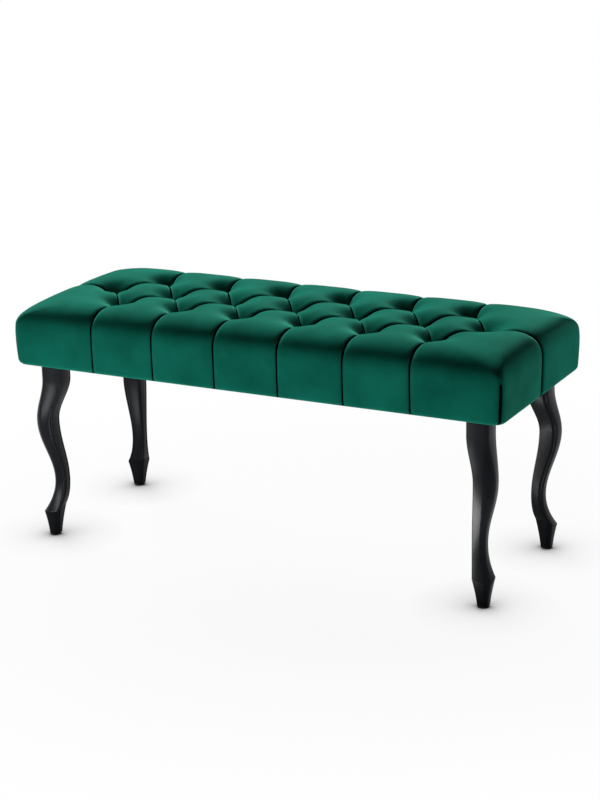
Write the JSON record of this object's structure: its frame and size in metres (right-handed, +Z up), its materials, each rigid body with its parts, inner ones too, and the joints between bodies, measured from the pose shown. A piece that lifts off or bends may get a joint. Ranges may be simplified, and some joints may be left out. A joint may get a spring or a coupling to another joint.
{
  "type": "upholstered bench",
  "caption": "Backless upholstered bench with a diamond-tufted velvet seat on cabriole legs with pointed toes, built on a timber frame.",
  "frame": {"origin": "on the floor under the centre of the seat", "axes": "+X along the bench, +Y to its back, +Z up"},
  "size_m": [1, 0.4, 0.475],
  "materials": {
    "velvet": "short-pile green velvet",
    "leg_lacquer": "gloss black lacquer",
    "frame_wood": "planed pine",
    "plywood": "sanded plywood",
    "foam": "open-cell foam",
    "wadding": "polyester fibre",
    "lining": "spun-bonded lining",
    "steel": "zinc plated",
    "twine": "waxed twine",
    "glide_plastic": "moulded"
  },
  "bodies": {
    "root": {"front_rail": "frame_wood", "back_rail": "frame_wood", "left_rail": "frame_wood", "right_rail": "frame_wood", "left_brace": "frame_wood", "right_brace": "frame_wood", "deck_panel": "plywood", "foam_core": "foam", "wadding_layer": "wadding", "velvet_cover": "velvet", "dust_cover": "lining", "tuft_ties": "twine", "tuft_washers": "steel", "tee_nuts": "steel", "hanger_bolts": "steel", "frame_screws": "steel", "deck_screws": "steel", "lining_staples": "steel", "foot_glides": "glide_plastic", "corner_block_front_left": "frame_wood", "leg_front_left": "leg_lacquer", "corner_block_front_right": "frame_wood", "leg_front_right": "leg_lacquer", "corner_block_back_left": "frame_wood", "leg_back_left": "leg_lacquer", "corner_block_back_right": "frame_wood", "leg_back_right": "leg_lacquer"}
  },
  "joints": []
}
